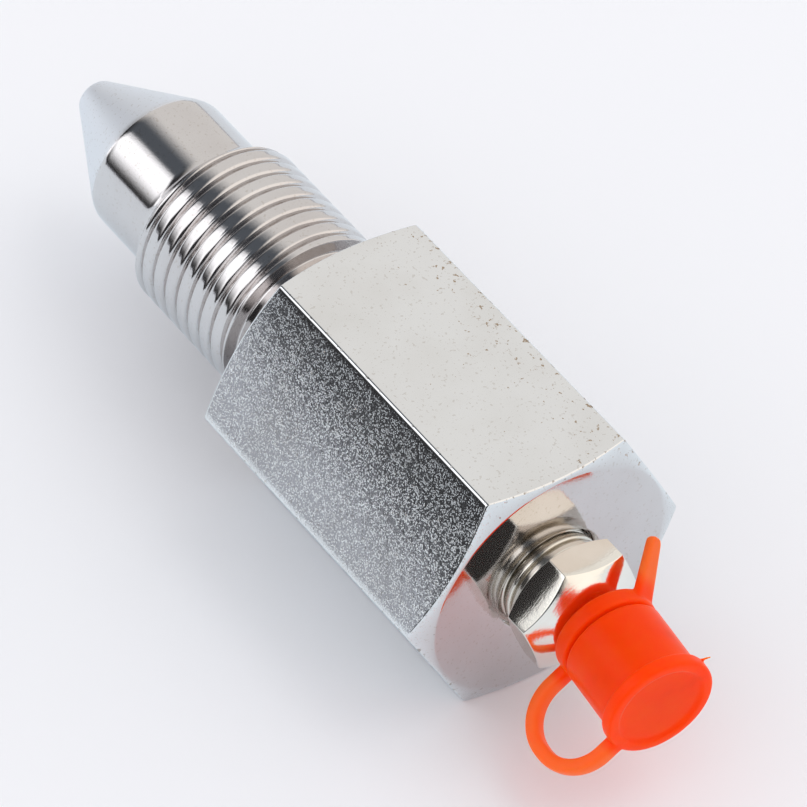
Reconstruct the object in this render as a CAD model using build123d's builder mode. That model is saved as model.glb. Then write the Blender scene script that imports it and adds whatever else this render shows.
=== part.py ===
"""Grease valve for a hydraulic track tensioner, lying on one flat of its hexagon.

A turned hexagonal body carries a threaded stem that ends in a sealing cone. A spring-loaded ball
inside the body holds the grease pressure back, and a grease nipple with a ball of its own is
screwed into the outer end, under a moulded dust cap with its retaining ring, strap and pull tab.

Millimetres. The origin is the centre of the flat that the body rests on, +Z is up and +X runs
along the axis of the valve, from the sealing cone towards the dust cap.
"""
import os
from math import cos, radians, sqrt, tan

from build123d import *

# ---------------------------------------------------------------- body: hexagon and stem
across_flats = 25.4
hex_length = 32.7
hex_face_radius = 12.28        # turned circle that the end chamfers leave on each end face
hex_chamfer_angle = 21.7       # from the end face
thread_diameter = 17.9
thread_pitch = 1.814
thread_length = 16.45
relief_width = 5.05            # undercut between the thread and the hexagon
relief_clearance = 0.35        # undercut below the root of the thread
pilot_diameter = 14.66
pilot_length = 8.35
seat_cone_angle = 62.0         # included angle of the sealing cone
seat_cone_length = 9.6
tip_chamfer = 0.4

# ---------------------------------------------------------------- body: grease passage
socket_depth = 9.0
passage_diameter = 3.0
outlet_diameter = 1.5
outlet_length = 6.0
mouth_chamfer = 0.6            # countersink around the nipple

# ---------------------------------------------------------------- check valve in the body
check_ball_diameter = 5.0
check_ball_clearance = 0.35    # radial, around the ball in its chamber
chamber_depth = 11.0
check_seat_diameter = 8.0
check_seat_length = 3.5
check_seat_bore = 3.5
press_interference = 0.02      # radial
seat_gap = 0.03                # between each ball and the edge it seals on
check_wire_diameter = 0.6
check_coil_diameter = 3.8      # of the wire's centre line
check_turns = 3

# ---------------------------------------------------------------- grease nipple
nipple_thread_diameter = 10.0
nipple_thread_engagement = 0.05
nipple_thread_length = 8.76
nipple_stand_off = 1.76        # neck left between the body and the nipple's hexagon
nipple_across_flats = 11.1
nipple_hex_turn = -8.0         # the tightened nipple stops where it stops
nipple_corner_height = 2.8     # of the hexagon's corners
nipple_cone_angle = 30.0       # of the turned top, from the hexagon's face
nipple_neck_diameter = 4.9
nipple_neck_end = 9.6          # from the body's end face
head_diameter = 6.5
head_band_length = 1.5
head_length = 5.6
head_tip_diameter = 3.5
nipple_edge_chamfer = 0.25
nipple_bore = 3.2
nipple_lip = 0.8               # staked edge that holds the spring in
nipple_inlet = 2.0
nipple_ball_diameter = 2.6
nipple_seat_depth = 0.9        # from the end of the head to the edge that the ball seals on
nipple_wire_diameter = 0.4
nipple_coil_diameter = 2.0
nipple_turns = 4
wire_sides = 6                 # flats that stand for the round of the springs' wire

# ---------------------------------------------------------------- dust cap, one moulding
cap_lean = 5.4                 # the soft cap sits a little askew on the nipple
cap_pivot = 10.5               # from the body's end face, where it leans about
cap_diameter = 9.45
cap_head_clearance = 0.5       # radial, around the head
cap_end_clearance = 0.5
cap_end_wall = 1.35
cap_mouth = 8.95               # from the body's end face
flange_diameter = 10.4
flange_thickness = 1.65
flange_chamfer = 0.3
dish_diameter = 8.5
dish_depth = 0.3
ring_length = 2.0
ring_gap = 0.25                # slit between the ring and the mouth of the cap
ring_chamfer = 0.25
strap_droop = 32.0             # how far below the horizontal the strap stands out
strap_width = 1.7
strap_thickness = 1.35
strap_chamfer = 0.4
strap_reach = 10.8             # of its centre line from the cap's axis
strap_flat = 0.4               # straight length between its two bends
tab_length = 5.9
tab_root_width = 2.6
tab_tip_width = 1.5
tab_thickness = 0.85
tab_tip_round = 0.5
tab_lean = 42.0                # back towards the hexagon, from square to the axis

# ---------------------------------------------------------------- places along the axis
axis_height = across_flats / 2
end_face = hex_length / 2
thread_end = -end_face - relief_width
thread_start = thread_end - thread_length
pilot_end = thread_start - pilot_length
nose_end = pilot_end - seat_cone_length

corner_radius = axis_height / cos(radians(30))
corner_setback = (corner_radius - hex_face_radius) * tan(radians(hex_chamfer_angle))
thread_depth = 0.613 * thread_pitch
thread_root_radius = thread_diameter / 2 - thread_depth
relief_radius = thread_root_radius - relief_clearance
tip_radius = pilot_diameter / 2 - seat_cone_length * tan(radians(seat_cone_angle / 2))

socket_radius = nipple_thread_diameter / 2 - nipple_thread_engagement
socket_end = end_face - socket_depth
seat_face = socket_end - check_seat_length
chamber_radius = check_ball_diameter / 2 + check_ball_clearance
chamber_end = seat_face - chamber_depth
outlet_start = nose_end + outlet_length

axial = Plane(origin=(0, 0, axis_height), x_dir=(1, 0, 0), z_dir=(0, -1, 0))
valve_axis = Axis((0, 0, axis_height), (1, 0, 0))

os.makedirs("parts", exist_ok=True)


def save(piece, name, colour):
    """Label one finished piece and write it to its own STEP file."""
    piece.label = name
    piece.color = Color(*colour)
    export_step(piece, f"parts/{name}.step")


def across(position):
    """Plane square to the valve's axis, at a position along it, with its own +Y upwards."""
    return Plane(origin=(position, 0, axis_height), x_dir=(0, 1, 0), z_dir=(1, 0, 0))


def coil_spring(start, end, coil_diameter, wire_diameter, turns):
    """Compression spring of plain coils between two places on the axis."""
    length = end - start - wire_diameter
    with BuildPart() as spring:
        with BuildLine():
            wire = Helix(
                pitch=length / turns,
                height=length,
                radius=coil_diameter / 2,
                center=(start + wire_diameter / 2, 0, axis_height),
                direction=(1, 0, 0),
            )
        with BuildSketch(Plane(origin=wire @ 0, z_dir=wire % 0)):
            RegularPolygon(radius=wire_diameter / 2, side_count=wire_sides)
        sweep(path=wire, is_frenet=True)
    return spring.part


def ball_behind(edge, ball_diameter, bore):
    """Centre of a ball that closes a bore from the -X side, a seat gap short of its edge."""
    return edge - sqrt((ball_diameter / 2) ** 2 - (bore / 2) ** 2) - seat_gap


def spring_end(ball_centre, ball_diameter, coil_diameter, wire_diameter):
    """Where a coil of round wire meets a ball from the -X side."""
    reach = (ball_diameter + wire_diameter) / 2
    return ball_centre - sqrt(reach**2 - (coil_diameter / 2) ** 2) + wire_diameter / 2


# ================================================================ body
with BuildPart() as valve_body:
    with BuildSketch(across(-end_face)):
        RegularPolygon(radius=axis_height, side_count=6, major_radius=False)
    extrude(amount=hex_length)

    # both ends of the hexagon are turned to a shallow cone around a round end face
    with BuildSketch(axial):
        with BuildLine():
            Polyline(
                (-end_face, 0),
                (-end_face, hex_face_radius),
                (-end_face + corner_setback, corner_radius),
                (end_face - corner_setback, corner_radius),
                (end_face, hex_face_radius),
                (end_face, 0),
                close=True,
            )
        make_face()
    revolve(axis=valve_axis, mode=Mode.INTERSECT)

    # stem: undercut, thread, pilot and sealing cone, turned in one with the hexagon
    with BuildSketch(axial):
        with BuildLine():
            Polyline(
                (-end_face, 0),
                (-end_face, relief_radius),
                (thread_end, relief_radius),
                (thread_end, thread_diameter / 2),
                (thread_start + thread_depth, thread_diameter / 2),
                (thread_start, thread_root_radius),
                (thread_start, pilot_diameter / 2),
                (pilot_end, pilot_diameter / 2),
                (nose_end, tip_radius),
                (nose_end, 0),
                close=True,
            )
        make_face()
    revolve(axis=valve_axis)

    tip_edge = valve_body.edges().filter_by(GeomType.CIRCLE).filter_by_position(
        Axis.X, nose_end, nose_end
    )
    chamfer(tip_edge, tip_chamfer)

    # stepped grease passage, from the nipple's socket to the tip of the cone
    with BuildSketch(axial):
        with BuildLine():
            Polyline(
                (end_face, 0),
                (end_face, socket_radius + mouth_chamfer),
                (end_face - mouth_chamfer, socket_radius),
                (socket_end, socket_radius),
                (socket_end, check_seat_diameter / 2),
                (seat_face, check_seat_diameter / 2),
                (seat_face, chamber_radius),
                (chamber_end, chamber_radius),
                (chamber_end, passage_diameter / 2),
                (outlet_start, passage_diameter / 2),
                (outlet_start, outlet_diameter / 2),
                (nose_end, outlet_diameter / 2),
                (nose_end, 0),
                close=True,
            )
        make_face()
    revolve(axis=valve_axis, mode=Mode.SUBTRACT)

save(valve_body.part, "valve_body", (0.72, 0.73, 0.76))

# ================================================================ check valve
check_ball_centre = ball_behind(seat_face, check_ball_diameter, check_seat_bore)

with BuildPart() as check_seat:
    with BuildSketch(across(seat_face)):
        Circle(check_seat_diameter / 2 + press_interference)
        Circle(check_seat_bore / 2, mode=Mode.SUBTRACT)
    extrude(amount=check_seat_length)
    rim = check_seat.edges().filter_by(GeomType.CIRCLE).filter_by_position(
        Axis.X, socket_end, socket_end
    )
    chamfer(rim.sort_by(SortBy.RADIUS)[-1], 0.3)

with BuildPart() as check_ball:
    with Locations((check_ball_centre, 0, axis_height)):
        Sphere(check_ball_diameter / 2)

check_spring = coil_spring(
    chamber_end,
    spring_end(check_ball_centre, check_ball_diameter, check_coil_diameter, check_wire_diameter),
    check_coil_diameter,
    check_wire_diameter,
    check_turns,
)

save(check_seat.part, "check_seat", (0.62, 0.60, 0.55))
save(check_ball.part, "check_ball", (0.80, 0.80, 0.82))
save(check_spring, "check_spring", (0.55, 0.56, 0.60))

# ================================================================ grease nipple
nipple_hex_start = end_face + nipple_stand_off
nipple_corner_radius = nipple_across_flats / 2 / cos(radians(30))
nipple_corner_end = nipple_hex_start + nipple_corner_height
nipple_neck_radius = nipple_neck_diameter / 2
nipple_slope = tan(radians(nipple_cone_angle))
nipple_cone_end = nipple_corner_end + (nipple_corner_radius - nipple_neck_radius) * nipple_slope
neck_end = end_face + nipple_neck_end
band_start = neck_end + (head_diameter - nipple_neck_diameter) / 2
nipple_end = neck_end + head_length
nipple_start = nipple_hex_start - nipple_thread_length
nipple_thread_chamfer = 0.6
hex_under_chamfer = 0.35
ball_edge = nipple_end - nipple_seat_depth
nipple_ball_centre = ball_behind(ball_edge, nipple_ball_diameter, nipple_inlet)

with BuildPart() as nipple_body:
    with BuildSketch(across(nipple_hex_start)):
        RegularPolygon(
            radius=nipple_across_flats / 2,
            side_count=6,
            major_radius=False,
            rotation=nipple_hex_turn,
        )
    extrude(amount=nipple_cone_end - nipple_hex_start)

    # the whole nipple is turned from hexagonal bar
    with BuildSketch(axial):
        with BuildLine():
            Polyline(
                (nipple_hex_start, 0),
                (nipple_hex_start, nipple_corner_radius - hex_under_chamfer / nipple_slope),
                (nipple_hex_start + hex_under_chamfer, nipple_corner_radius),
                (nipple_corner_end, nipple_corner_radius),
                (nipple_cone_end, nipple_neck_radius),
                (nipple_cone_end, 0),
                close=True,
            )
        make_face()
    revolve(axis=valve_axis, mode=Mode.INTERSECT)

    with BuildSketch(axial):
        with BuildLine():
            Polyline(
                (nipple_start, 0),
                (nipple_start, nipple_thread_diameter / 2 - nipple_thread_chamfer),
                (nipple_start + nipple_thread_chamfer, nipple_thread_diameter / 2),
                (nipple_hex_start, nipple_thread_diameter / 2),
                (nipple_hex_start, nipple_neck_radius),
                (neck_end, nipple_neck_radius),
                (band_start, head_diameter / 2),
                (band_start + head_band_length, head_diameter / 2),
                (nipple_end, head_tip_diameter / 2),
                (nipple_end, 0),
                close=True,
            )
        make_face()
    revolve(axis=valve_axis)

    tip_edge = nipple_body.edges().filter_by(GeomType.CIRCLE).filter_by_position(
        Axis.X, nipple_end, nipple_end
    )
    chamfer(tip_edge, nipple_edge_chamfer)

    # bore for the ball and spring, closed in to the inlet at one end and staked at the other
    with BuildSketch(axial):
        with BuildLine():
            Polyline(
                (nipple_start, 0),
                (nipple_start, nipple_bore / 2 - nipple_lip),
                (nipple_start + nipple_lip, nipple_bore / 2 - nipple_lip),
                (nipple_start + nipple_lip, nipple_bore / 2),
                (ball_edge - (nipple_bore - nipple_inlet) / 2, nipple_bore / 2),
                (ball_edge, nipple_inlet / 2),
                (nipple_end, nipple_inlet / 2),
                (nipple_end, 0),
                close=True,
            )
        make_face()
    revolve(axis=valve_axis, mode=Mode.SUBTRACT)

with BuildPart() as nipple_ball:
    with Locations((nipple_ball_centre, 0, axis_height)):
        Sphere(nipple_ball_diameter / 2)

nipple_spring = coil_spring(
    nipple_start + nipple_lip,
    spring_end(nipple_ball_centre, nipple_ball_diameter, nipple_coil_diameter, nipple_wire_diameter),
    nipple_coil_diameter,
    nipple_wire_diameter,
    nipple_turns,
)

save(nipple_body.part, "nipple_body", (0.80, 0.77, 0.72))
save(nipple_ball.part, "nipple_ball", (0.80, 0.80, 0.82))
save(nipple_spring, "nipple_spring", (0.55, 0.56, 0.60))

# ================================================================ dust cap
# Its own plane holds the cap's axis as local X and the side of the strap as local Y, and the
# positions below count from the pivot.
cap_direction = Vector(1, 0, 0).rotate(Axis.Z, -cap_lean)
strap_side = Vector(0, -1, 0).rotate(Axis.X, strap_droop)
cap_plane = Plane(
    origin=(end_face + cap_pivot, 0, axis_height),
    x_dir=cap_direction,
    z_dir=cap_direction.cross(strap_side),
)
cap_axis = Axis(cap_plane.origin, cap_direction)
cap_bore_radius = head_diameter / 2 + cap_head_clearance
cap_radius = cap_diameter / 2
flange_radius = flange_diameter / 2
dish_radius = dish_diameter / 2
bore_end = nipple_neck_end + head_length - cap_pivot + cap_end_clearance
cap_end = bore_end + cap_end_wall
flange_start = cap_end - flange_thickness
mouth = cap_mouth - cap_pivot
ring_middle = mouth - ring_gap - ring_length / 2
strap_end = cap_end - flange_thickness / 2
strap_root = cap_bore_radius + strap_thickness / 4
strap_bend = (strap_end - ring_middle - strap_flat) / 2
tab_root = (cap_bore_radius + cap_radius) / 2

with BuildPart() as dust_cap:
    # cap: a cup with a flange and a dished end
    with BuildSketch(cap_plane):
        with BuildLine():
            Polyline(
                (mouth, cap_bore_radius),
                (mouth, cap_radius),
                (flange_start, cap_radius),
                (flange_start, flange_radius),
                (cap_end, flange_radius),
                (cap_end, dish_radius),
                (cap_end - dish_depth, dish_radius - dish_depth),
                (cap_end - dish_depth, 0),
                (bore_end, 0),
                (bore_end, cap_bore_radius),
                close=True,
            )
        make_face()
    revolve(axis=cap_axis)
    rims = dust_cap.edges().filter_by(GeomType.CIRCLE)
    chamfer(rims.filter_by(lambda rim: abs(rim.radius - flange_radius) < 1e-3), flange_chamfer)

    # retaining ring, joined to the cap only by the strap
    with BuildSketch(cap_plane) as ring_section:
        with Locations((ring_middle, (cap_bore_radius + cap_radius) / 2)):
            Rectangle(ring_length, cap_radius - cap_bore_radius)
        chamfer(ring_section.vertices(), ring_chamfer)
    revolve(axis=cap_axis)

    # strap: out of the ring, over and back into the flange
    with BuildLine(cap_plane) as strap_path:
        FilletPolyline(
            (ring_middle, strap_root),
            (ring_middle, strap_reach),
            (strap_end, strap_reach),
            (strap_end, strap_root),
            radius=strap_bend,
        )
    strap_foot = cap_plane.from_local_coords(Vector(ring_middle, strap_root, 0))
    strap_plane = Plane(origin=strap_foot, x_dir=cap_plane.z_dir, z_dir=cap_plane.y_dir)
    with BuildSketch(strap_plane) as strap_section:
        Rectangle(strap_width, strap_thickness)
        chamfer(strap_section.vertices(), strap_chamfer)
    sweep(path=strap_path.wire())

    # pull tab on the far side of the ring, leaning back over the nipple
    tab_direction = (-cap_plane.y_dir).rotate(Axis((0, 0, 0), cap_plane.z_dir), -tab_lean)
    tab_foot = cap_plane.from_local_coords(Vector(ring_middle, -tab_root, 0))
    with BuildSketch(Plane(origin=tab_foot, x_dir=tab_direction, z_dir=tab_direction.cross(cap_plane.z_dir))):
        with BuildLine():
            Polyline(
                (0, tab_root_width / 2),
                (tab_length, tab_tip_width / 2),
                (tab_length, -tab_tip_width / 2),
                (0, -tab_root_width / 2),
                close=True,
            )
        tab_face = make_face()
        fillet(tab_face.vertices().sort_by_distance(tab_foot)[-2:], tab_tip_round)
    extrude(amount=tab_thickness / 2, both=True)

save(dust_cap.part, "dust_cap", (0.95, 0.28, 0.06))
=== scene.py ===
"""Grease valve for a track tensioner, dressed for a studio view.

Run as a script: it lays a threaded, plated skin over the valve's body and its grease nipple, moulds
the orange dust cap, finishes the small parts inside and sets up a plain studio.

Metres. The valve lies on one flat of its hexagon at z = 0, with its axis along +X towards the cap.
"""

from math import cos, pi, radians, sin, tan

import bmesh
import bpy
import numpy as np
from bpy.props import FloatProperty, FloatVectorProperty, IntProperty, PointerProperty
from mathutils import Matrix, Vector


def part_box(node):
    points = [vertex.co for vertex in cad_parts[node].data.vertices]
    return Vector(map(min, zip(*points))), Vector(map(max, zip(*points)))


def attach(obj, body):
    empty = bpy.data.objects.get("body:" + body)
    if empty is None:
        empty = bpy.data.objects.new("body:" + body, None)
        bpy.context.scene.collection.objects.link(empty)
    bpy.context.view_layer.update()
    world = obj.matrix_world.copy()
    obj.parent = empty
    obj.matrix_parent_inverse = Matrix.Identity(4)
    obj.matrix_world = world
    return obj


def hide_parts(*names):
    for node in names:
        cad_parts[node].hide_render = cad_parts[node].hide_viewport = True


bl_info = {
    "name": "Grease Valve",
    "version": (1, 0, 0),
    "blender": (4, 5, 0),
    "location": "View3D > Sidebar > Valve",
    "description": "Dresses a track tensioner's grease valve with its plated body, nipple and dust cap",
    "category": "Object",
}

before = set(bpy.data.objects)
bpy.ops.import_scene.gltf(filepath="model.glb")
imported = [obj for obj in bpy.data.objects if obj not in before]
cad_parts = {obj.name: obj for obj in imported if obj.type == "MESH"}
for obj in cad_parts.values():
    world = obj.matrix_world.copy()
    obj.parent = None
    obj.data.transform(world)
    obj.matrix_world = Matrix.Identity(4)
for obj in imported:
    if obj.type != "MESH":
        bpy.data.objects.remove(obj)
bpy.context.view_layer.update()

BODY_LOW, BODY_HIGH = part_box("valve_body")
AXIS_HEIGHT = (BODY_LOW.z + BODY_HIGH.z) / 2
END_FACE = BODY_HIGH.x
NIPPLE_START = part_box("nipple_body")[0].x
NIPPLE_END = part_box("nipple_body")[1].x
# power of the thread's form: the higher, the broader the crests and the narrower the grooves
CREST_POWER = 5.0
# share of the pitch that the nipple's thread is deep
SHANK_DEPTH = 0.6

# light that the metal mirrors, by part of the studio, where 1 is white
DARK_LOW, DARK_HIGH = (0.035, 0.035, 0.037), (0.105, 0.12, 0.14)
SCREEN_LIGHT, SCREEN_FAR_LIGHT = (0.87, 0.86, 0.84), (1.20, 1.15, 1.09)
SOFTBOX_LIGHT = (1.62, 1.66, 1.72)
SWEEP_LIGHT, SWEEP_NEAR_LIGHT = (0.66, 0.67, 0.71), (1.0, 1.0, 1.03)
WALL_LIGHT = (0.43, 0.45, 0.50)


# ---------------------------------------------------------------- sizes and colours
def length(name, default, description):
    """A size in metres that a user may change."""
    return FloatProperty(name=name, default=default, description=description, unit="LENGTH", precision=5)


def angle(name, degrees, description):
    """An angle that a user may change."""
    return FloatProperty(
        name=name, default=radians(degrees), description=description, subtype="ANGLE", unit="ROTATION"
    )


def colour(name, default, description):
    """A linear colour that a user may change."""
    return FloatVectorProperty(
        name=name, default=default, description=description, subtype="COLOR", size=3, min=0, max=1
    )


def plain(name, default, description):
    """A number without a unit that a user may change."""
    return FloatProperty(name=name, default=default, description=description)


class BodySizes(bpy.types.PropertyGroup):
    """Sizes of the hexagonal body and its threaded stem."""

    across_flats: length("Across flats", BODY_HIGH.z - BODY_LOW.z, "Width of the hexagon over two flats")
    hex_length: length("Hexagon length", 0.0327, "Length of the hexagon with its end chamfers")
    end_circle: length("End circle", 0.01228, "Radius of the turned circle on each end face")
    end_slope: angle("End chamfer", 21.7, "Slope of the end chamfers from the end face")
    corner_round: length("Corner round", 0.00040, "Radius along the long corners of the hexagon")
    relief_width: length("Undercut width", 0.0044, "Undercut between the thread and the hexagon")
    relief_radius: length("Undercut radius", 0.007488, "Radius at the bottom of the undercut")
    thread_diameter: length("Thread diameter", 0.0179, "Diameter over the thread's crests")
    thread_pitch: length("Thread pitch", 0.001814, "Distance from crest to crest")
    thread_length: length("Thread length", 0.01475, "Length of the threaded part")
    thread_depth: length("Thread depth", 0.00080, "Depth of the thread's groove")
    pilot_diameter: length("Pilot diameter", 0.01466, "Diameter of the plain part before the cone")
    pilot_length: length("Pilot length", 0.0087, "Length of the plain part before the cone")
    cone_length: length("Cone length", 0.0106, "Length of the sealing cone")
    cone_angle: angle("Cone angle", 55.5, "Included angle of the sealing cone")
    mouth_radius: length("Socket radius", 0.00495, "Radius of the socket that holds the nipple")
    outlet_radius: length("Outlet radius", 0.00075, "Radius of the outlet at the cone's tip")
    outlet_length: length("Outlet length", 0.006, "Length of the outlet at the cone's tip")
    passage_radius: length("Passage radius", 0.0015, "Radius of the grease passage through the stem")
    chamber_radius: length("Chamber radius", 0.00285, "Radius of the chamber for the check ball and spring")
    chamber_end: length("Chamber end", -0.00715, "Position of the chamber's bottom")
    seat_radius: length("Seat radius", 0.004, "Radius of the bore that holds the check seat")
    seat_length: length("Seat length", 0.0035, "Length of the bore that holds the check seat")
    socket_end: length("Socket end", 0.00735, "Position of the socket's bottom")
    edge_wear: length("Edge wear", 0.0002, "Distance from an edge within which it is nicked")


class NippleSizes(bpy.types.PropertyGroup):
    """Sizes of the grease nipple."""

    across_flats: length("Across flats", 0.0111, "Width of the nipple's hexagon over two flats")
    hex_turn: angle("Turn", -8.0, "How far the hexagon stands turned from the body's")
    stand_off: length("Stand-off", 0.00176, "Neck left between the body and the nipple's hexagon")
    corner_height: length("Corner height", 0.0028, "Height of the hexagon's corners")
    cone_slope: angle("Cone slope", 30.0, "Slope of the turned top from the hexagon's face")
    shank_radius: length("Shank radius", 0.005, "Radius over the shank's thread")
    shank_pitch: length("Shank pitch", 0.001, "Pitch of the shank's thread")
    neck_radius: length("Neck radius", 0.00245, "Radius of the neck under the head")
    neck_end: length("Neck end", 0.0096, "Where the neck ends, from the body's end face")
    head_radius: length("Head radius", 0.00325, "Radius of the head's band")
    head_band: length("Head band", 0.0015, "Length of the head's band")
    tip_radius: length("Tip radius", 0.00175, "Radius at the end of the head")
    bore_radius: length("Bore radius", 0.0016, "Radius of the bore for the ball and spring")
    inlet_radius: length("Inlet radius", 0.001, "Radius of the inlet that the ball closes")


class CapSizes(bpy.types.PropertyGroup):
    """Sizes of the moulded dust cap, along its own axis from the pivot where it leans."""

    lean: angle("Lean", 6.4, "How far the soft cap sits askew on the nipple")
    pivot: length("Pivot", 0.0105, "Where it leans about, from the body's end face")
    bore: length("Bore", 0.00375, "Inner radius of the cap and ring")
    radius: length("Radius", 0.004725, "Outer radius of the cap and ring")
    mouth: length("Mouth", -0.00150, "Position of the cap's open end")
    bore_end: length("Bore end", 0.0052, "Position of the bottom of the bore")
    end: length("End", 0.00665, "Position of the closed end")
    flange_radius: length("Flange radius", 0.005225, "Outer radius of the flange")
    flange_thickness: length("Flange thickness", 0.00135, "Thickness of the flange")
    flange_round: length("Flange round", 0.00045, "Softness of the flange's edges")
    dish_radius: length("Dish radius", 0.00425, "Radius of the dish in the closed end")
    dish_depth: length("Dish depth", 0.0003, "Depth of the dish")
    ring_middle: length("Ring middle", -0.00268, "Position of the middle of the retaining ring")
    ring_length: length("Ring length", 0.00166, "Length of the retaining ring")
    strap_droop: angle("Strap droop", 40.0, "How far below the horizontal the strap stands out")
    strap_width: length("Strap width", 0.0017, "Width of the strap")
    strap_thickness: length("Strap thickness", 0.00135, "Thickness of the strap")
    strap_reach: length("Strap reach", 0.01065, "Reach of the strap's centre line from the cap's axis")
    strap_flat: length("Strap flat", 0.0004, "Straight length between the strap's two bends")
    tab_length: length("Tab length", 0.0059, "Length of the pull tab")
    tab_root: length("Tab root", 0.0026, "Width of the tab where it leaves the ring")
    tab_tip: length("Tab tip", 0.0015, "Width of the tab at its tip")
    tab_thickness: length("Tab thickness", 0.00085, "Thickness of the tab")
    tab_lean: angle("Tab lean", 42.0, "Lean of the tab back towards the hexagon")
    grain: length("Grain", 0.00011, "Size of the cells in which the moulding's parts are joined")


class Finishes(bpy.types.PropertyGroup):
    """Colours and marks of the materials."""

    plating: colour("Plating", (0.80, 0.80, 0.80), "Bright plating of the body")
    worn: colour("Worn plating", (0.66, 0.64, 0.61), "Duller clouds in the plating of the flats")
    stem: colour("Stem plating", (0.64, 0.605, 0.595), "Plating of the turned stem and end faces")
    cone: colour("Cone plating", (0.80, 0.80, 0.82), "Satin plating of the sealing cone")
    freckle: colour("Freckles", (0.42, 0.36, 0.30), "Small dull marks all over the plating")
    nick: colour("Nicks", (0.24, 0.19, 0.15), "Bare steel where an edge is nicked")
    stain: colour("Stain", (0.30, 0.19, 0.09), "Rust specks in the plating")
    # Colour of the brown painted shade in the thread's roots and the undercut by the hexagon.
    grease: colour("Grease", (0.20, 0.15, 0.08), "Old grease in the thread and the corners")
    nickel: colour("Nickel", (0.90, 0.86, 0.79), "Warm plating of the nipple")
    old_nickel: colour("Old nickel", (0.72, 0.64, 0.52), "Duller clouds in the nipple's plating")
    ball: colour("Ball steel", (0.72, 0.72, 0.74), "Bearing steel of the balls")
    spring: colour("Spring steel", (0.45, 0.46, 0.48), "Drawn wire of the springs")
    brass: colour("Brass", (0.72, 0.53, 0.25), "Brass of the check valve's seat")
    plastic: colour("Cap plastic", (1.0, 0.052, 0.0015), "Translucent orange of the dust cap")
    scuffed: colour("Scuffed plastic", (1.0, 0.095, 0.003), "Paler orange where the cap is scuffed")
    cloudy: colour("Deep plastic", (0.76, 0.034, 0.0004), "Deeper orange in the cap's clouds")
    thin: colour("Thin plastic", (1.0, 0.16, 0.030), "Paler orange of the strap and tab")
    # Painted glow: the cap's emission stands in for light through its wall and is stronger on the strap and
    # tab.
    painted_glow: colour("Glow", (0.11, 0.007, 0.0), "Light that the cap's wall lets through")
    thin_painted_glow: colour("Thin glow", (0.10, 0.016, 0.002), "Light that the strap and tab let through")
    grain_height: length("Grain height", 0.000018, "Height of the fine grain under the plating")


class StudioValues(bpy.types.PropertyGroup):
    """Camera and light."""

    camera_place: FloatVectorProperty(
        name="Camera place",
        description="Where the camera stands",
        default=(0.3007, -0.2562, 0.4277),
        subtype="TRANSLATION",
        unit="LENGTH",
        size=3,
    )
    camera_right: FloatVectorProperty(
        name="Camera right",
        description="Direction to the right in the picture",
        default=(0.581, 0.811, 0.072),
        subtype="DIRECTION",
        size=3,
    )
    camera_up: FloatVectorProperty(
        name="Camera up",
        description="Direction upwards in the picture",
        default=(-0.615, 0.379, 0.692),
        subtype="DIRECTION",
        size=3,
    )
    lens: plain("Lens", 289.96, "Focal length in millimetres on a 36 mm wide sensor")
    floor: colour("Floor", (0.92, 0.92, 0.945), "Colour of the floor as the camera sees it")
    floor_bounce: colour("Floor bounce", (0.86, 0.93, 0.99), "Colour of the floor in reflections")
    backdrop: colour("Backdrop", (0.86, 0.86, 0.89), "Colour behind the floor")
    room: colour("Room", (0.885, 0.89, 0.91), "Even light of the white room")
    key_power: plain("Key power", 0.8, "Power in watts of the large lamp above")
    samples_round: IntProperty(name="Round", description="Steps around a softened corner", default=4, min=2)


# ---------------------------------------------------------------- surfaces
def add_object(name, points, close_rows=False):
    """Make an object from a grid of points: rows run along the shape and columns once around it.

    points has the shape (rows, columns, 3). Each cell of the grid becomes one four-sided face, and
    the last column joins the first. With close_rows the last row joins the first as well.
    """
    rows, columns, _ = points.shape
    row = np.arange(rows if close_rows else rows - 1)[:, None]
    column = np.arange(columns)[None, :]
    next_row = (row + 1) % rows
    next_column = (column + 1) % columns
    faces = np.stack(
        (
            row * columns + column,
            row * columns + next_column,
            next_row * columns + next_column,
            next_row * columns + column,
        ),
        axis=-1,
    ).reshape(-1, 4)
    mesh = bpy.data.meshes.new(name)
    mesh.vertices.add(rows * columns)
    mesh.vertices.foreach_set("co", points.astype(np.float32).ravel())
    mesh.loops.add(faces.size)
    mesh.loops.foreach_set("vertex_index", faces.astype(np.int32).ravel())
    mesh.polygons.add(len(faces))
    mesh.polygons.foreach_set("loop_start", np.arange(len(faces), dtype=np.int32) * 4)
    mesh.update(calc_edges=True)
    mesh.validate()
    mesh.shade_smooth()
    made = bpy.data.objects.new(name, mesh)
    bpy.context.scene.collection.objects.link(made)
    return made


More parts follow.
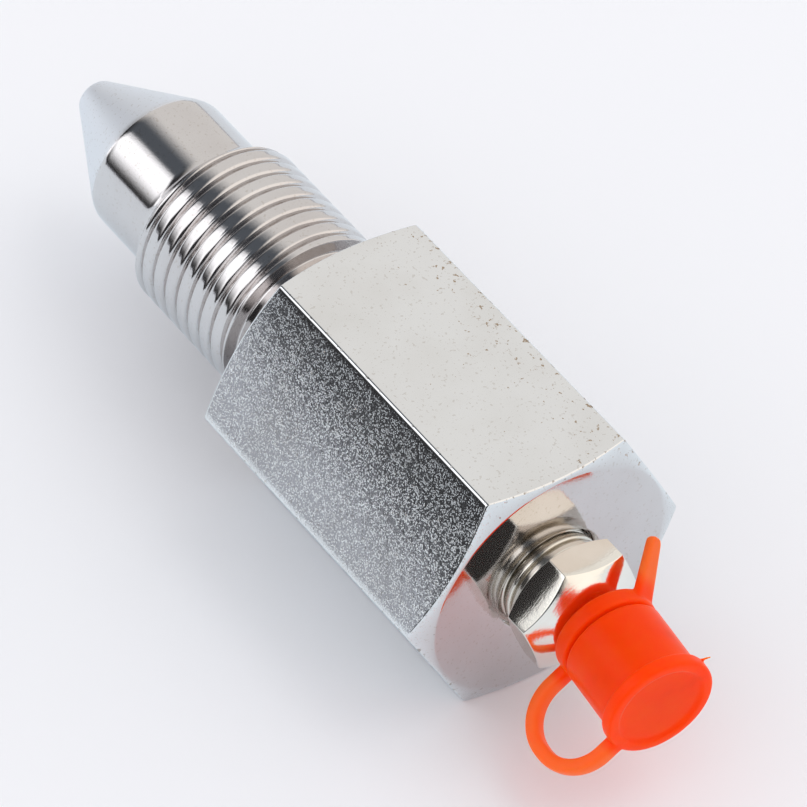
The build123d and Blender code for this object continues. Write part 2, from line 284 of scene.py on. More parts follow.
def softened(profile, steps, closed=True):
    """Rows of a profile whose corners are softened.

    Each corner of the profile is (x, r, bevel, divisions), with x and r a number or an array with
    one value for each column. A corner's rows lie on the quadratic curve
    (1-t)^2 A + 2t(1-t) C + t^2 B, where C is the corner and A and B lie its bevel's length before
    and after it. The divisions are the rows on the straight run after the corner.
    """
    corners = [corner[:2] for corner in profile]
    bevels = [corner[2] for corner in profile]
    divisions = [corner[3] for corner in profile]
    width = max(np.size(value) for corner in corners for value in corner)
    points = np.array([[np.broadcast_to(value, width) for value in corner] for corner in corners], float)
    before, after = np.roll(points, 1, axis=0), np.roll(points, -1, axis=0)
    if not closed:
        before[0], after[-1] = points[0], points[-1]
    bevel = np.asarray(bevels, float)[:, None, None]

    def towards(other):
        way = other - points
        size = np.maximum(np.sqrt((way**2).sum(axis=1, keepdims=True)), 1e-9)
        return points + way / size * np.minimum(bevel, 0.45 * size)

    first, last = towards(before), towards(after)
    t = np.linspace(0, 1, steps + 1)[:, None, None]
    out = []
    for number in range(len(points)):
        if bevels[number] > 0:
            out.append((1 - t) ** 2 * first[number] + 2 * t * (1 - t) * points[number] + t**2 * last[number])
        else:
            out.append(points[number][None])
        if divisions[number] and (closed or number + 1 < len(points)):
            share = np.linspace(0, 1, divisions[number] + 2)[1:-1, None, None]
            start = last[number] if bevels[number] > 0 else points[number]
            stop = first[(number + 1) % len(points)]
            stop = stop if bevels[(number + 1) % len(points)] > 0 else points[(number + 1) % len(points)]
            out.append(start + share * (stop - start))
    rows = np.concatenate(out)
    return rows[:, 0], rows[:, 1]


def around_axis(x, radius, around):
    """Points at a distance along the valve's axis, with their radius and angle from the top.

    The angle grows from +Z towards -Y, so a point is (x, -r sin a, height + r cos a).
    """
    return np.stack(
        np.broadcast_arrays(x, -radius * np.sin(around), AXIS_HEIGHT + radius * np.cos(around)), axis=-1
    )


def hexagon(apothem, corner_round, turn, flat_columns, round_columns):
    """Angles and radii of a hexagon's outline with rounded corners, as seen along the axis.

    On a flat the radius is the apothem over the cosine of the angle from the flat's normal. On a
    corner it is the distance to a circle of the corner's radius whose centre lies on the corner's
    line: c cos b + sqrt(round^2 - c^2 sin^2 b), with b the angle from that line.
    """
    centre = (apothem - corner_round) / cos(pi / 6)
    limit = np.arctan((apothem - corner_round) * tan(pi / 6) / apothem)
    flat = np.arctan(np.linspace(-1, 1, flat_columns) * tan(limit))
    corner = np.linspace(limit, pi / 3 - limit, round_columns + 2)[1:-1]
    local = np.concatenate((flat, corner))
    beside = local - pi / 6
    reach = np.sqrt(np.maximum(corner_round**2 - (centre * np.sin(beside)) ** 2, 0))
    radius = np.where(local <= limit + 1e-9, apothem / np.cos(local), centre * np.cos(beside) + reach)
    around = (local[None, :] + np.arange(6)[:, None] * pi / 3 + turn).ravel()
    return around, np.tile(radius, 6)


def thread_drop(x, around, pitch, depth):
    """How far a right-hand thread with full round crests lies below its crests.

    The phase is x over the pitch, less the turn made. The drop grows with a power of the distance
    from the crest's middle, which leaves broad crests between narrow grooves.
    """
    phase = (x / pitch - around / (2 * pi)) % 1.0
    return depth * (np.abs(phase - 0.5) * 2) ** CREST_POWER


def keep_attribute(made, name, values):
    """Store one number for each vertex under a name that a material reads."""
    store = made.data.attributes.new(name, "FLOAT", "POINT")
    store.data.foreach_set("value", np.ascontiguousarray(values, np.float32).ravel())


def finish_piece(made, body, material, slot, *nodes):
    """Give a new piece its material and let it ride on its body in place of the plain solids."""
    made.data.materials.clear()
    made.data.materials.append(material)
    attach(made, body)
    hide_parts(*nodes)


def even_normals(made):
    """Let the large faces set the normals, so that flats look flat up to their softened edges."""
    modifier = made.modifiers.new("Even normals", "WEIGHTED_NORMAL")
    modifier.mode = "FACE_AREA"
    modifier.weight = 50


# ---------------------------------------------------------------- node writing
class Wire:
    """One output of a node, so that shader maths reads as plain Python sums."""

    def __init__(self, graph, socket):
        self.graph = graph
        self.socket = socket

    def maths(self, operation, *values, clamp=False):
        """A Math node on wires and numbers."""
        settings = {"operation": operation, "use_clamp": clamp}
        return self.graph.node("ShaderNodeMath", settings, dict(enumerate(values)))

    def __add__(self, other):
        return self.maths("ADD", self, other)

    def __radd__(self, other):
        return self.maths("ADD", other, self)

    def __sub__(self, other):
        return self.maths("SUBTRACT", self, other)

    def __rsub__(self, other):
        return self.maths("SUBTRACT", other, self)

    def __mul__(self, other):
        return self.maths("MULTIPLY", self, other)

    def __rmul__(self, other):
        return self.maths("MULTIPLY", other, self)

    def __truediv__(self, other):
        return self.maths("DIVIDE", self, other)

    def __pow__(self, other):
        return self.maths("POWER", self, other)

    def held(self):
        """The value, kept between 0 and 1."""
        return self.maths("ADD", self, 0.0, clamp=True)

    def ramp(self, low, high):
        """Smooth step from 0 at low to 1 at high."""
        settings = {"interpolation_type": "SMOOTHSTEP", "clamp": True}
        if low < high:
            return self.graph.node(
                "ShaderNodeMapRange", settings, {"Value": self, "From Min": low, "From Max": high}
            )
        return 1.0 - self.graph.node(
            "ShaderNodeMapRange", settings, {"Value": self, "From Min": high, "From Max": low}
        )


class Graph:
    """The node tree of a material or world."""

    def __init__(self, tree):
        self.tree = tree
        tree.nodes.clear()

    def node(self, kind, settings=None, inputs=None, out=0):
        """Add a node, set its settings, then the values or links of its inputs, and give one output."""
        made = self.tree.nodes.new(kind)
        for name, value in (settings or {}).items():
            setattr(made, name, value)
        for name, value in (inputs or {}).items():
            if isinstance(value, Wire):
                self.tree.links.new(value.socket, made.inputs[name])
            else:
                made.inputs[name].default_value = value
        return Wire(self, made.outputs[out]) if made.outputs else None

    def parts(self, vector):
        """The x, y and z of a vector."""
        made = self.node("ShaderNodeSeparateXYZ", None, {0: vector})
        outputs = made.socket.node.outputs
        return [Wire(self, outputs[axis]) for axis in range(3)]

    def vector(self, x, y, z):
        return self.node("ShaderNodeCombineXYZ", None, {0: x, 1: y, 2: z})

    def attribute(self, name):
        return self.node("ShaderNodeAttribute", {"attribute_name": name}, None, "Fac")

    def noise(self, where, scale, detail=2.0, roughness=0.5):
        inputs = {"Vector": where, "Scale": scale, "Detail": detail, "Roughness": roughness}
        return self.node("ShaderNodeTexNoise", None, inputs, "Fac")

    def mix(self, share, first, second):
        """Colour between two others."""
        inputs = {0: share, 6: as_colour(first), 7: as_colour(second)}
        return self.node("ShaderNodeMix", {"data_type": "RGBA"}, inputs, 2)

    def bump(self, height, distance, strength=1.0):
        inputs = {"Height": height, "Distance": distance, "Strength": strength}
        return self.node("ShaderNodeBump", None, inputs)


def as_colour(value):
    """A colour property with its alpha, or a wire as it is."""
    return value if isinstance(value, Wire) else (*value[:3], 1.0)


def new_material(name):
    """An empty material and its graph."""
    made = bpy.data.materials.new(name)
    made.use_nodes = True
    return made, Graph(made.node_tree)


def surface(graph, inputs):
    """Principled surface to the material's output."""
    shader = graph.node("ShaderNodeBsdfPrincipled", None, inputs, "BSDF")
    graph.node("ShaderNodeOutputMaterial", None, {"Surface": shader})


def axis_parts(graph):
    """Object coordinates, with the distance from the valve's axis."""
    where = graph.node("ShaderNodeTexCoord", None, None, "Object")
    x, y, z = graph.parts(where)
    height = z - AXIS_HEIGHT
    around = (y * y + height * height) ** 0.5
    return where, x, y, height, around


def plated_steel(colours, cone_start):
    """Bright plating over ground flats and turned stem.

    The cone is satin with turned rings, the flats carry faint grinding arcs and rust specks that
    thicken towards one edge, the side flats glitter, the edges are nicked, and brown shade is
    painted into the thread's roots and the undercut. Scales of the noises count waves in a metre.
    """
    material, g = new_material("plated_steel")
    where, x, y, height, around = axis_parts(g)
    flat = g.attribute("flat")
    groove = g.attribute("groove")
    edge = g.attribute("edge")
    stem = 1.0 - flat
    satin = x.ramp(cone_start + 0.0001, cone_start - 0.0001)
    side = height.ramp(0.0126, 0.0118) * flat

    fine = g.noise(where, 4300.0, 1.0, 0.6)
    broad = g.noise(where, 1900.0, 2.0, 0.6)
    coarse = g.noise(where, 900.0, 2.0)
    cloud = g.noise(where, 150.0, 3.0)
    rings = g.noise(g.vector(x, around, 0.0), 6500.0, 2.0, 0.6)
    # grinding marks: long shallow arcs about a far centre
    arc = ((x + 0.02) ** 2.0 + (y + 0.055) ** 2.0) ** 0.5
    marks = g.noise(g.vector(arc, x * 0.02, y * 0.02), 3200.0, 2.0)

    # rust specks: the noise passes a limit that falls towards the +Y edge and in some clouds
    speck_field = g.noise(where, 1900.0, 2.0, 0.65)
    speck_place = ((y + 0.001) / 0.0085).held() + (cloud - 0.5) * 0.9
    limit = 0.735 - speck_place.held() * 0.125
    speck = (speck_field - limit).ramp(0.0, 0.05) * flat * height.ramp(0.0, 0.010)
    freckle = (g.noise(where, 3400.0, 1.0) - 0.64).ramp(0.0, 0.07)
    nick = (edge * 0.22 + broad * 0.75 - 0.655).ramp(0.0, 0.06)
    # painted shade: brown patches in the thread's roots and the undercut, deepest at the root
    root_shade = (groove * groove * (coarse - 0.30) * 1.3).held()
    # glitter of the side flats' grain, weaker towards their upper edge
    glint = (g.noise(where, 6200.0, 1.0) + broad * 0.35 - 0.73).ramp(0.0, 0.12) * side
    glint = glint * (1.0 - height.ramp(0.004, 0.0115) * 0.75)

    base = g.mix(stem * (0.85 + (cloud - 0.5) * 0.7), colours.plating, colours.stem)
    base = g.mix(flat * (cloud - 0.42).held() * 1.1, base, colours.worn)
    base = g.mix(satin, base, colours.cone)
    # painted shade in the thread's roots and the undercut
    base = g.mix(root_shade * 0.5, base, colours.grease)
    base = g.mix(speck * 0.85, base, colours.stain)
    base = g.mix(freckle * 0.30, base, colours.freckle)
    base = g.mix(nick * 0.65, base, colours.nick)

    rough = 0.035 + cloud * 0.03 + stem * 0.045 + speck * 0.45 + root_shade * 0.2 + satin * 0.30
    relief = (fine + broad * 0.5) * (0.04 + stem * 0.09) + coarse * 0.05 + glint * 0.95
    turned = rings * stem * (0.05 + satin * 0.18) + marks * flat * 0.05
    pits = speck * 0.2 + nick * 0.4
    surface(
        g,
        {
            "Base Color": base,
            "Metallic": 1.0 - speck * 0.6,
            "Roughness": rough,
            "Normal": g.bump(relief + turned - pits, colours.grain_height),
        },
    )
    return material


def warm_nickel(colours):
    """Warm nickel plating with a coarse grain, turned rings and brown shade painted into its thread."""
    material, g = new_material("warm_nickel")
    where, x, _, _, around = axis_parts(g)
    groove = g.attribute("groove")
    grain = g.noise(where, 4200.0, 2.0, 0.6)
    cloud = g.noise(where, 260.0, 3.0)
    rings = g.noise(g.vector(x, around, 0.0), 7000.0, 2.0, 0.7)
    base = g.mix((cloud - 0.40).held() * 0.8, colours.nickel, colours.old_nickel)
    # painted shade: brown over the shank's thread, darkest in its roots
    base = g.mix(groove * 0.6, base, colours.grease)
    surface(
        g,
        {
            "Base Color": base,
            "Metallic": 1.0,
            "Roughness": 0.07 + cloud * 0.08 + groove * 0.2,
            "Normal": g.bump(grain * 0.30 + rings * 0.20 + cloud * 0.8, colours.grain_height),
        },
    )
    return material


def small_metal(name, base_colour, shade, roughness, scale):
    """Plain metal for the small parts inside, with fine marks and a little tarnish."""
    material, g = new_material(name)
    where = axis_parts(g)[0]
    tarnish = g.noise(where, scale * 0.2, 3.0)
    fine = g.noise(where, scale, 2.0)
    base = g.mix((tarnish - 0.35).held() * 1.2, base_colour, [part * shade for part in base_colour])
    surface(
        g,
        {
            "Base Color": base,
            "Metallic": 1.0,
            "Roughness": roughness + fine * 0.12,
            "Normal": g.bump(fine, 0.000003),
        },
    )
    return material


def cap_plastic(colours, pivot, lean):
    """Soft translucent orange plastic, cloudy, scuffed, paler where it is thin, with a painted glow.

    The strap and tab count as thin: they stand further from the cap's own axis than its wall.
    """
    material, g = new_material("cap_plastic")
    where, x, y, height, _ = axis_parts(g)
    scuff = g.noise(where, 700.0, 3.0)
    fine = g.noise(where, 3000.0, 2.0)
    cloudy = g.noise(where, 230.0, 2.0)
    offset = y + (x - pivot) * tan(lean)
    thin = ((offset * offset + height * height) ** 0.5).ramp(0.0052, 0.0064)
    base = g.mix((scuff - 0.45).held() * 0.6, colours.plastic, colours.scuffed)
    base = g.mix((cloudy - 0.42).held() * 2.4, base, colours.cloudy)
    base = g.mix(thin * 0.8, base, colours.thin)
    surface(
        g,
        {
            "Base Color": base,
            "Roughness": 0.30 + scuff * 0.12,
            "IOR": 1.49,
            "Specular IOR Level": 0.10,
            "Subsurface Weight": 1.0,
            "Subsurface Radius": (0.003, 0.0007, 0.0002),
            "Subsurface Scale": 1.0,
            # Painted glow: emission stands in for light through the plastic and is stronger on the thin strap
            # and tab.
            "Emission Color": g.mix(thin, colours.painted_glow, colours.thin_painted_glow),
            "Emission Strength": 1.0,
            "Normal": g.bump(scuff + fine * 0.4, 0.00002),
        },
    )
    return material


# ---------------------------------------------------------------- operators
class OBJECT_OT_valve_body(bpy.types.Operator):
    """Lay the plated skin with its real thread over the valve's body"""

    bl_idname = "object.valve_body"
    bl_label = "Valve body"

    def execute(self, context):
        s = context.scene.valve_body_sizes
        steps = context.scene.valve_studio.samples_round
        around, outline = hexagon(s.across_flats / 2, s.corner_round, 0.0, 26, 5)
        slope = tan(s.end_slope)
        back = END_FACE - s.hex_length
        thread_end = back - s.relief_width
        thread_start = thread_end - s.thread_length
        crest = s.thread_diameter / 2
        root = crest - s.thread_depth
        pilot = s.pilot_diameter / 2
        cone_start = thread_start - s.pilot_length
        nose_end = cone_start - s.cone_length
        tip = pilot - s.cone_length * tan(s.cone_angle / 2)
        setback = (outline - s.end_circle) * slope
        socket = s.mouth_radius
        outlet_start = nose_end + s.outlet_length
        seat_face = s.socket_end - s.seat_length
        turns = round(s.thread_length / s.thread_pitch)
        profile = [
            (nose_end, s.outlet_radius, 0.0, 0),
            (nose_end, tip, 0.0005, 18),
            (cone_start, pilot, 0.0006, 5),
            (thread_start, pilot, 0.0, 0),
            (thread_start, root, 0.0, 14),
            (thread_start + s.thread_depth, crest, 0.0, turns * 24),
            (thread_end, crest, 0.0, 6),
            (thread_end, s.relief_radius, 0.00025, 3),
            (back, s.relief_radius, 0.0003, 2),
            (back, s.end_circle, 0.00012, 0),
            (back + setback, outline, 0.00016, 12),
            (END_FACE - setback, outline, 0.00016, 0),
            (END_FACE, s.end_circle, 0.00012, 2),
            (END_FACE, socket + 0.0006, 0.0001, 0),
            (END_FACE - 0.0006, socket, 0.0001, 3),
            (s.socket_end, socket, 0.0, 0),
            (s.socket_end, s.seat_radius, 0.0, 0),
            (seat_face, s.seat_radius, 0.0, 0),
            (seat_face, s.chamber_radius, 0.0, 0),
            (s.chamber_end, s.chamber_radius, 0.0, 0),
            (s.chamber_end, s.passage_radius, 0.0, 0),
            (outlet_start, s.passage_radius, 0.0, 0),
            (outlet_start, s.outlet_radius, 0.0, 0),
        ]
        x, radius = softened(profile, steps)
        a = np.broadcast_to(around, x.shape)
        drop = thread_drop(x, a, s.thread_pitch, s.thread_depth)
        threaded = (x > thread_start - 1e-7) & (x < thread_end + 1e-7) & (radius > s.relief_radius)
        cut = np.minimum(radius, crest - drop)
        radius = np.where(threaded, cut, radius)
        made = add_object("valve_body_skin", around_axis(x, radius, a), close_rows=True)
        on_hexagon = (x > back + 0.0001) & (x < END_FACE - 0.0001) & (radius > s.end_circle + 0.00002)
        near_relief = (x > thread_end - 1e-7) & (x < back + 0.0002) & (radius < s.relief_radius + 0.0006)
        from_corner = np.abs((a % (pi / 3)) - pi / 6) * s.across_flats / 2
        from_chamfer = np.minimum(np.abs(x - back - setback), np.abs(x - END_FACE + setback))
        from_edge = np.minimum(from_corner, from_chamfer)
        edge = np.exp(-((from_edge / s.edge_wear) ** 2)) * (radius > s.end_circle)
        keep_attribute(made, "edge", edge)
        keep_attribute(made, "flat", on_hexagon)
        # groove also sets the painted shade: the thread's roots, and the undercut at half strength
        keep_attribute(made, "groove", np.where(threaded, drop / s.thread_depth, near_relief * 0.5))
        even_normals(made)
        material = plated_steel(context.scene.valve_finishes, cone_start)
        finish_piece(made, "fitting", material, "plated_steel", "valve_body")
        return {"FINISHED"}


class OBJECT_OT_valve_nipple(bpy.types.Operator):
    """Lay the nickel skin over the grease nipple"""

    bl_idname = "object.valve_nipple"
    bl_label = "Grease nipple"

    def execute(self, context):
        s = context.scene.valve_nipple_sizes
        steps = context.scene.valve_studio.samples_round
        around, outline = hexagon(s.across_flats / 2, 0.00018, s.hex_turn, 20, 3)
        start = END_FACE + s.stand_off
        corner_radius = s.across_flats / 2 / cos(pi / 6)
        slope = tan(s.cone_slope)
        shoulder = start + s.corner_height + (corner_radius - outline) * slope
        cone_end = start + s.corner_height + (corner_radius - s.neck_radius) * slope
        under = start + (outline - s.across_flats / 2 + 0.0001) * slope
        neck_end = END_FACE + s.neck_end
        band_start = neck_end + s.head_radius - s.neck_radius
        ball_edge = NIPPLE_END - 0.0009
        lip = s.bore_radius - 0.0008
        profile = [
            (NIPPLE_START, lip, 0.0, 0),
            (NIPPLE_START, s.shank_radius - 0.0006, 0.0, 2),
            (NIPPLE_START + 0.0006, s.shank_radius, 0.0, 120),
            (start, s.shank_radius, 0.0, 0),
            (start, s.across_flats / 2 - 0.0001, 0.00008, 0),
            (under, outline, 0.0001, 4),
            (shoulder, outline, 0.00012, 6),
            (cone_end, s.neck_radius, 0.0003, 4),
            (neck_end, s.neck_radius, 0.0002, 2),
            (band_start, s.head_radius, 0.0002, 2),
            (band_start + s.head_band, s.head_radius, 0.0002, 3),
            (NIPPLE_END, s.tip_radius, 0.0003, 1),
            (NIPPLE_END, s.inlet_radius, 0.0001, 1),
            (ball_edge, s.inlet_radius, 0.0, 0),
            (ball_edge - s.bore_radius + s.inlet_radius, s.bore_radius, 0.0, 3),
            (NIPPLE_START + 0.0008, s.bore_radius, 0.0, 0),
            (NIPPLE_START + 0.0008, lip, 0.0, 0),
        ]
        x, radius = softened(profile, steps)
        a = np.broadcast_to(around, x.shape)
        depth = s.shank_pitch * SHANK_DEPTH
        drop = thread_drop(x, a, s.shank_pitch, depth)
        threaded = (x > NIPPLE_START - 1e-7) & (x < start + 1e-7) & (radius > s.bore_radius + 0.0002)
        threaded = threaded & (radius < s.shank_radius + 1e-7)
        radius = np.where(threaded, np.minimum(radius, s.shank_radius - drop), radius)
        made = add_object("nipple_skin", around_axis(x, radius, a), close_rows=True)
        # groove sets the painted shade: all over the shank's thread, most in its roots
        keep_attribute(made, "groove", np.where(threaded, 0.35 + 0.65 * drop / depth, 0.0))
        even_normals(made)
        material = warm_nickel(context.scene.valve_finishes)
        finish_piece(made, "fitting", material, "nickel_steel", "nipple_body")
        return {"FINISHED"}


class CapPlace:
    """The cap's own directions: along its axis, towards its strap, and square to both."""

    def __init__(self, sizes):
        self.along = Vector((cos(sizes.lean), -sin(sizes.lean), 0.0))
        strap = Vector((0.0, -cos(sizes.strap_droop), -sin(sizes.strap_droop)))
        self.square = self.along.cross(strap).normalized()
        self.strap = self.square.cross(self.along).normalized()
        self.origin = Vector((END_FACE + sizes.pivot, 0.0, AXIS_HEIGHT))

    def points(self, along, strap, square):
        """World points from distances in the three directions."""
        parts = np.broadcast_arrays(along, strap, square)
        return np.array(self.origin) + sum(
            part[..., None] * np.array(way) for part, way in zip(parts, (self.along, self.strap, self.square))
        )


def revolved(place, x, radius, columns):
    """Points of a profile turned once about the cap's axis."""
    a = np.arange(columns) / columns * 2 * pi
    return place.points(x, radius * np.cos(a), radius * np.sin(a))


def closed_tube(centre, side, other, half_side, half_other, columns, power):
    """Points of a tube along a line, closed by a point at both ends.

    Its section is a superellipse: the powers of cosine and sine of the turn, times the two half
    widths along the two side directions.
    """
    a = np.arange(columns) / columns * 2 * pi
    c, s = np.cos(a), np.sin(a)
    across = np.sign(c) * np.abs(c) ** (2 / power)
    up = np.sign(s) * np.abs(s) ** (2 / power)
    ring = (
        centre[:, None, :]
        + (half_side[:, None] * across)[..., None] * side[:, None, :]
        + (half_other[:, None] * up)[..., None] * other[:, None, :]
    )
    ends = [np.broadcast_to(point, (1, columns, 3)) for point in (centre[0], centre[-1])]
    return np.concatenate((ends[0], ring, ends[1]))


class OBJECT_OT_valve_dust_cap(bpy.types.Operator):
    """Mould the dust cap with its flange, retaining ring, strap and pull tab"""

    bl_idname = "object.valve_dust_cap"
    bl_label = "Dust cap"

    def execute(self, context):
        s = context.scene.valve_cap_sizes
        place = CapPlace(s)
        flange_start = s.end - s.flange_thickness
        cup = [
            (s.bore_end, 0.0, 0.0, 4),
            (s.bore_end, s.bore, 0.0004, 6),
            (s.mouth, s.bore, 0.0002, 1),
            (s.mouth, s.radius, 0.0002, 8),
            (flange_start, s.radius, 0.0002, 1),
            (flange_start, s.flange_radius, s.flange_round * 0.6, 2),
            (s.end, s.flange_radius, s.flange_round, 1),
            (s.end, s.dish_radius, 0.00015, 1),
            (s.end - s.dish_depth, s.dish_radius - s.dish_depth, 0.00015, 6),
            (s.end - s.dish_depth, 0.0, 0.0, 0),
        ]
        x, radius = softened(cup, 4, closed=False)
        shells = [add_object("cup", revolved(place, x, radius, 128))]

        half = s.ring_length / 2
        ring = [
            (s.ring_middle - half, s.bore, 0.0003, 1),
            (s.ring_middle - half, s.radius, 0.0003, 4),
            (s.ring_middle + half, s.radius, 0.0003, 1),
            (s.ring_middle + half, s.bore, 0.0003, 4),
        ]
        x, radius = softened(ring, 4)
        shells.append(add_object("ring", revolved(place, x, radius, 128), close_rows=True))

        shells.append(self.strap(s, place))
        shells.append(self.tab(s, place))
        shells.append(self.whisker(s, place))
        made = self.moulded(shells, s.grain)
        material = cap_plastic(context.scene.valve_finishes, END_FACE + s.pivot, s.lean)
        finish_piece(made, "dust_cap", material, "orange_plastic", "dust_cap")
        return {"FINISHED"}

    def strap(self, s, place):
        """Strap from the ring, around two quarter bends and back into the flange."""
        first, last = s.ring_middle, s.end - s.flange_thickness / 2
        bend = (last - first - s.strap_flat) / 2
        root = s.bore + 0.0004
        quarter = np.linspace(0, pi / 2, 24)
        rise = np.linspace(root, s.strap_reach - bend, 12)[:-1]
        along = np.concatenate(
            (
                np.full(len(rise), first),
                first + bend - bend * np.cos(quarter),
                last - bend + bend * np.sin(quarter),
                np.full(len(rise), last),
            )
        )
        out = np.concatenate(
            (
                rise,
                s.strap_reach - bend + bend * np.sin(quarter),
                s.strap_reach - bend + bend * np.cos(quarter),
                rise[::-1],
            )
        )
        step_along, step_out = np.gradient(along), np.gradient(out)
        size = np.hypot(step_along, step_out)
        centre = place.points(along, out, 0.0)
        side = np.broadcast_to(np.array(place.square), centre.shape)
        origin = np.array(place.origin)
        other = place.points(-step_out / size, step_along / size, 0.0) - origin
        wide = np.full(len(along), s.strap_width / 2)
        thick = np.full(len(along), s.strap_thickness / 2)
        return add_object("strap", closed_tube(centre, side, other, wide, thick, 32, 3.0))

    def tab(self, s, place):
        """Pull tab on the far side of the ring, leaning back, narrower and rounded at its tip."""
        rows = 40
        share = np.linspace(0, 1, rows)
        reach = share * s.tab_length
        along = s.ring_middle - reach * sin(s.tab_lean)
        out = -(s.bore + s.radius) / 2 - reach * cos(s.tab_lean)
        centre = place.points(along, out, 0.0)
        side = np.broadcast_to(np.array(place.square), centre.shape)
        origin = np.array(place.origin)
        normal = place.points(np.full(rows, cos(s.tab_lean)), np.full(rows, -sin(s.tab_lean)), 0.0) - origin
        wide = (s.tab_root + (s.tab_tip - s.tab_root) * share) / 2
        tip = np.clip((s.tab_length - reach) / (s.tab_tip / 2), 0, 1)
        wide = wide * self.rounding(tip)
        thick = np.full(rows, s.tab_thickness / 2) * self.rounding(np.clip(tip * 2.5, 0, 1))
        return add_object("tab", closed_tube(centre, side, normal, wide, thick, 40, 5.0))

    def rounding(self, share):
        """Height of a quarter circle over its share, sqrt(1 - (1 - share)^2), kept just above 0."""
        return np.sqrt(np.maximum(1 - (1 - share) ** 2, 0.0004))

    def whisker(self, s, place):
        """Sliver of flash left on the flange by the mould's parting line."""
        share = np.linspace(0, 1, 14)
        turn = pi * 0.972 - share * 0.03
        reach = s.flange_radius - 0.0003 + share * 0.0011
        along = s.end - s.flange_thickness * 0.9 + share * 0.0004
        centre = place.points(along, reach * np.cos(turn), reach * np.sin(turn))
        step = np.gradient(centre, axis=0)
        step /= np.linalg.norm(step, axis=1, keepdims=True)
        side = np.cross(step, np.array(place.along))
        side /= np.linalg.norm(side, axis=1, keepdims=True)
        other = np.cross(side, step)
        thin = 0.00016 * (1 - 0.45 * share)
        return add_object("whisker", closed_tube(centre, side, other, thin, thin, 12, 2.0))

    def moulded(self, shells, grain):
        """Join the closed shells into one skin of small cells and smooth it."""
        whole = bmesh.new()
        for shell in shells:
            whole.from_mesh(shell.data)
            mesh = shell.data
            bpy.data.objects.remove(shell)
            bpy.data.meshes.remove(mesh)
        bmesh.ops.remove_doubles(whole, verts=whole.verts, dist=1e-7)
        mesh = bpy.data.meshes.new("dust_cap_skin")
        whole.to_mesh(mesh)
        whole.free()
        made = bpy.data.objects.new("dust_cap_skin", mesh)
        bpy.context.scene.collection.objects.link(made)
        remesh = made.modifiers.new("Mould", "REMESH")
        remesh.mode = "VOXEL"
        remesh.voxel_size = grain
        remesh.use_smooth_shade = True
        smooth = made.modifiers.new("Soften", "SMOOTH")
        smooth.factor = 0.5
        smooth.iterations = 4
        shaped = bpy.data.meshes.new_from_object(made.evaluated_get(bpy.context.evaluated_depsgraph_get()))
        made.modifiers.clear()
        made.data = shaped
        bpy.data.meshes.remove(mesh)
        shaped.name = "dust_cap_skin"
        return made


class OBJECT_OT_valve_inner_parts(bpy.types.Operator):
    """Finish the balls, springs and seat inside the valve"""

    bl_idname = "object.valve_inner_parts"
    bl_label = "Inner parts"

    def execute(self, context):
        colours = context.scene.valve_finishes
        ball = small_metal("ball_steel", colours.ball, 0.85, 0.06, 2500.0)
        wire = small_metal("spring_wire", colours.spring, 0.6, 0.28, 9000.0)
        brass = small_metal("turned_brass", colours.brass, 0.7, 0.22, 7000.0)
        finishes = {
            "check_ball": ball,
            "nipple_ball": ball,
            "check_spring": wire,
            "nipple_spring": wire,
            "check_seat": brass,
        }
        for name, material in finishes.items():
            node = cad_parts[name]
            node.data.materials.clear()
            node.data.materials.append(material)
        return {"FINISHED"}


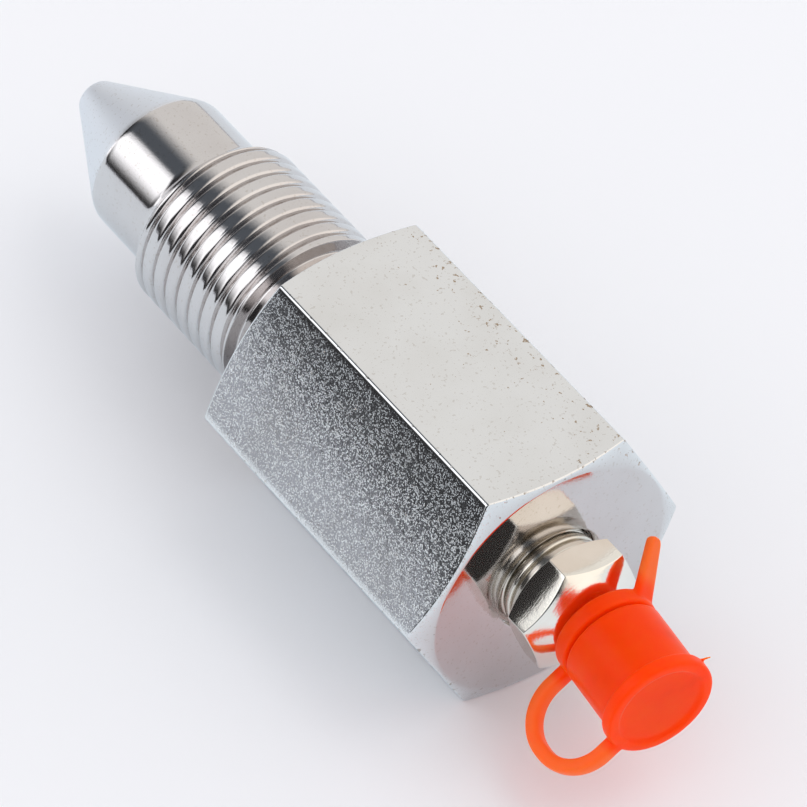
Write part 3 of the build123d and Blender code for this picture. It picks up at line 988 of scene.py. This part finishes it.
class OBJECT_OT_valve_studio(bpy.types.Operator):
    """Set up the pale floor, the studio light and the camera"""

    bl_idname = "object.valve_studio"
    bl_label = "Studio"

    def execute(self, context):
        values = context.scene.valve_studio
        self.floor(values)
        self.world(context.scene, values)
        self.lamp(values)
        self.camera(context.scene, values)
        context.scene.view_settings.view_transform = "Standard"
        return {"FINISHED"}

    def floor(self, values):
        """Round floor: rings of points about the origin whose radius grows by a square."""
        radius = (np.linspace(0, 1, 24) ** 2 * 2.2)[:, None]
        a = (np.arange(64) / 64 * 2 * pi)[None, :]
        points = np.stack(np.broadcast_arrays(radius * np.cos(-a), radius * np.sin(-a), 0.0), axis=-1)
        made = add_object("studio_floor", points)
        whole = bmesh.new()
        whole.from_mesh(made.data)
        bmesh.ops.remove_doubles(whole, verts=whole.verts, dist=1e-7)
        bmesh.ops.recalc_face_normals(whole, faces=whole.faces)
        whole.to_mesh(made.data)
        whole.free()
        material, g = new_material("studio_floor")
        where = g.node("ShaderNodeTexCoord", None, None, "Object")
        seen = g.node("ShaderNodeLightPath", None, None, "Is Camera Ray")
        uneven = g.noise(where, 9.0, 2.0)
        base = g.mix(seen, values.floor_bounce, values.floor)
        surface(g, {"Base Color": base, "Roughness": 0.65 + uneven * 0.1, "Specular IOR Level": 0.2})
        made.data.materials.append(material)

    def world(self, scene, values):
        """Studio as seen by the metal, by direction.

        A large warm screen stands on the +Y side and reaches overhead, brighter towards +X. A cooler
        softbox stands on the -Y side, dark low down in front (the gap) and towards +X (the nook). A
        plain wall closes the horizon and a pale sweep the -X end. The room between is dark, less so
        overhead. Scattered light is even, and the camera itself sees a pale backdrop.
        """
        world = bpy.data.worlds.new("studio")
        scene.world = world
        world.use_nodes = True
        g = Graph(world.node_tree)
        way = g.node("ShaderNodeTexCoord", None, None, "Generated")
        x, y, z = g.parts(way)
        screen = y.ramp(-0.13, 0.24) * z.ramp(-0.02, 0.02)
        gap = x.ramp(-0.85, -0.78) * z.ramp(0.44, 0.06)
        nook = x.ramp(-0.05, 0.25) * z.ramp(0.60, 0.40)
        softbox = y.ramp(-0.33, -0.51) * z.ramp(0.86, 0.78) * (1.0 - nook) * (1.0 - gap)
        wall = (z + x * 0.12).ramp(-0.0470, -0.0520) * z.ramp(0.02, 0.018)
        sweep = x.ramp(-0.72, -0.92) * z.ramp(0.26, 0.12)
        light = g.mix(z.ramp(0.35, 0.80), DARK_LOW, DARK_HIGH)
        light = g.mix(screen, light, SCREEN_LIGHT)
        light = g.mix(screen * x.ramp(0.0, 0.4), light, SCREEN_FAR_LIGHT)
        light = g.mix(sweep, light, SWEEP_LIGHT)
        light = g.mix(wall, light, WALL_LIGHT)
        light = g.mix(sweep * y.ramp(-0.12, -0.28), light, SWEEP_NEAR_LIGHT)
        light = g.mix(softbox, light, SOFTBOX_LIGHT)
        scattered = g.node("ShaderNodeLightPath", None, None, "Is Diffuse Ray")
        light = g.mix(scattered, light, values.room)
        seen = g.node("ShaderNodeLightPath", None, None, "Is Camera Ray")
        light = g.mix(seen, light, values.backdrop)
        shader = g.node("ShaderNodeBackground", None, {"Color": light, "Strength": 1.0})
        g.node("ShaderNodeOutputWorld", None, {"Surface": shader})

    def lamp(self, values):
        """Large lamp above, which gives the floor its light and the valve its soft shadow."""
        data = bpy.data.lights.new("key", "AREA")
        data.shape = "RECTANGLE"
        data.size, data.size_y = 0.6, 0.5
        data.energy = values.key_power
        data.color = (1.0, 0.99, 0.98)
        made = bpy.data.objects.new("key", data)
        bpy.context.scene.collection.objects.link(made)
        made.location = (0.10, 0.38, 0.80)
        made.rotation_euler = (-made.location).to_track_quat("-Z", "Y").to_euler()
        made.visible_glossy = False

    def camera(self, scene, values):
        """Camera at the viewing angle, with its picture's right and up directions."""
        right = Vector(values.camera_right).normalized()
        back = right.cross(Vector(values.camera_up)).normalized()
        up = back.cross(right)
        data = bpy.data.cameras.new("camera")
        data.sensor_width = 36.0
        data.lens = values.lens
        data.clip_start, data.clip_end = 0.01, 20.0
        made = bpy.data.objects.new("camera", data)
        scene.collection.objects.link(made)
        turn = Matrix((right, up, back)).transposed().to_4x4()
        made.matrix_world = Matrix.Translation(Vector(values.camera_place)) @ turn
        scene.camera = made


class VIEW3D_PT_valve(bpy.types.Panel):
    """The valve's pieces and their values"""

    bl_label = "Grease valve"
    bl_idname = "VIEW3D_PT_valve"
    bl_space_type = "VIEW_3D"
    bl_region_type = "UI"
    bl_category = "Valve"

    def draw(self, context):
        for operator in OPERATORS:
            self.layout.operator(operator.bl_idname)
        for name, group in GROUPS.items():
            box = self.layout.box()
            box.label(text=name.replace("_", " ").capitalize())
            for value in group.__annotations__:
                box.prop(getattr(context.scene, name), value)


GROUPS = {
    "valve_body_sizes": BodySizes,
    "valve_nipple_sizes": NippleSizes,
    "valve_cap_sizes": CapSizes,
    "valve_finishes": Finishes,
    "valve_studio": StudioValues,
}
OPERATORS = (
    OBJECT_OT_valve_body,
    OBJECT_OT_valve_nipple,
    OBJECT_OT_valve_dust_cap,
    OBJECT_OT_valve_inner_parts,
    OBJECT_OT_valve_studio,
)
CLASSES = (*GROUPS.values(), *OPERATORS, VIEW3D_PT_valve)


def register():
    for one in CLASSES:
        bpy.utils.register_class(one)
    for name, group in GROUPS.items():
        setattr(bpy.types.Scene, name, PointerProperty(type=group))


def unregister():
    for name in GROUPS:
        delattr(bpy.types.Scene, name)
    for one in reversed(CLASSES):
        bpy.utils.unregister_class(one)


def main():
    """Build every piece."""
    register()
    bpy.ops.object.valve_body()
    bpy.ops.object.valve_nipple()
    bpy.ops.object.valve_dust_cap()
    bpy.ops.object.valve_inner_parts()
    bpy.ops.object.valve_studio()


if __name__ == "__main__":
    main()
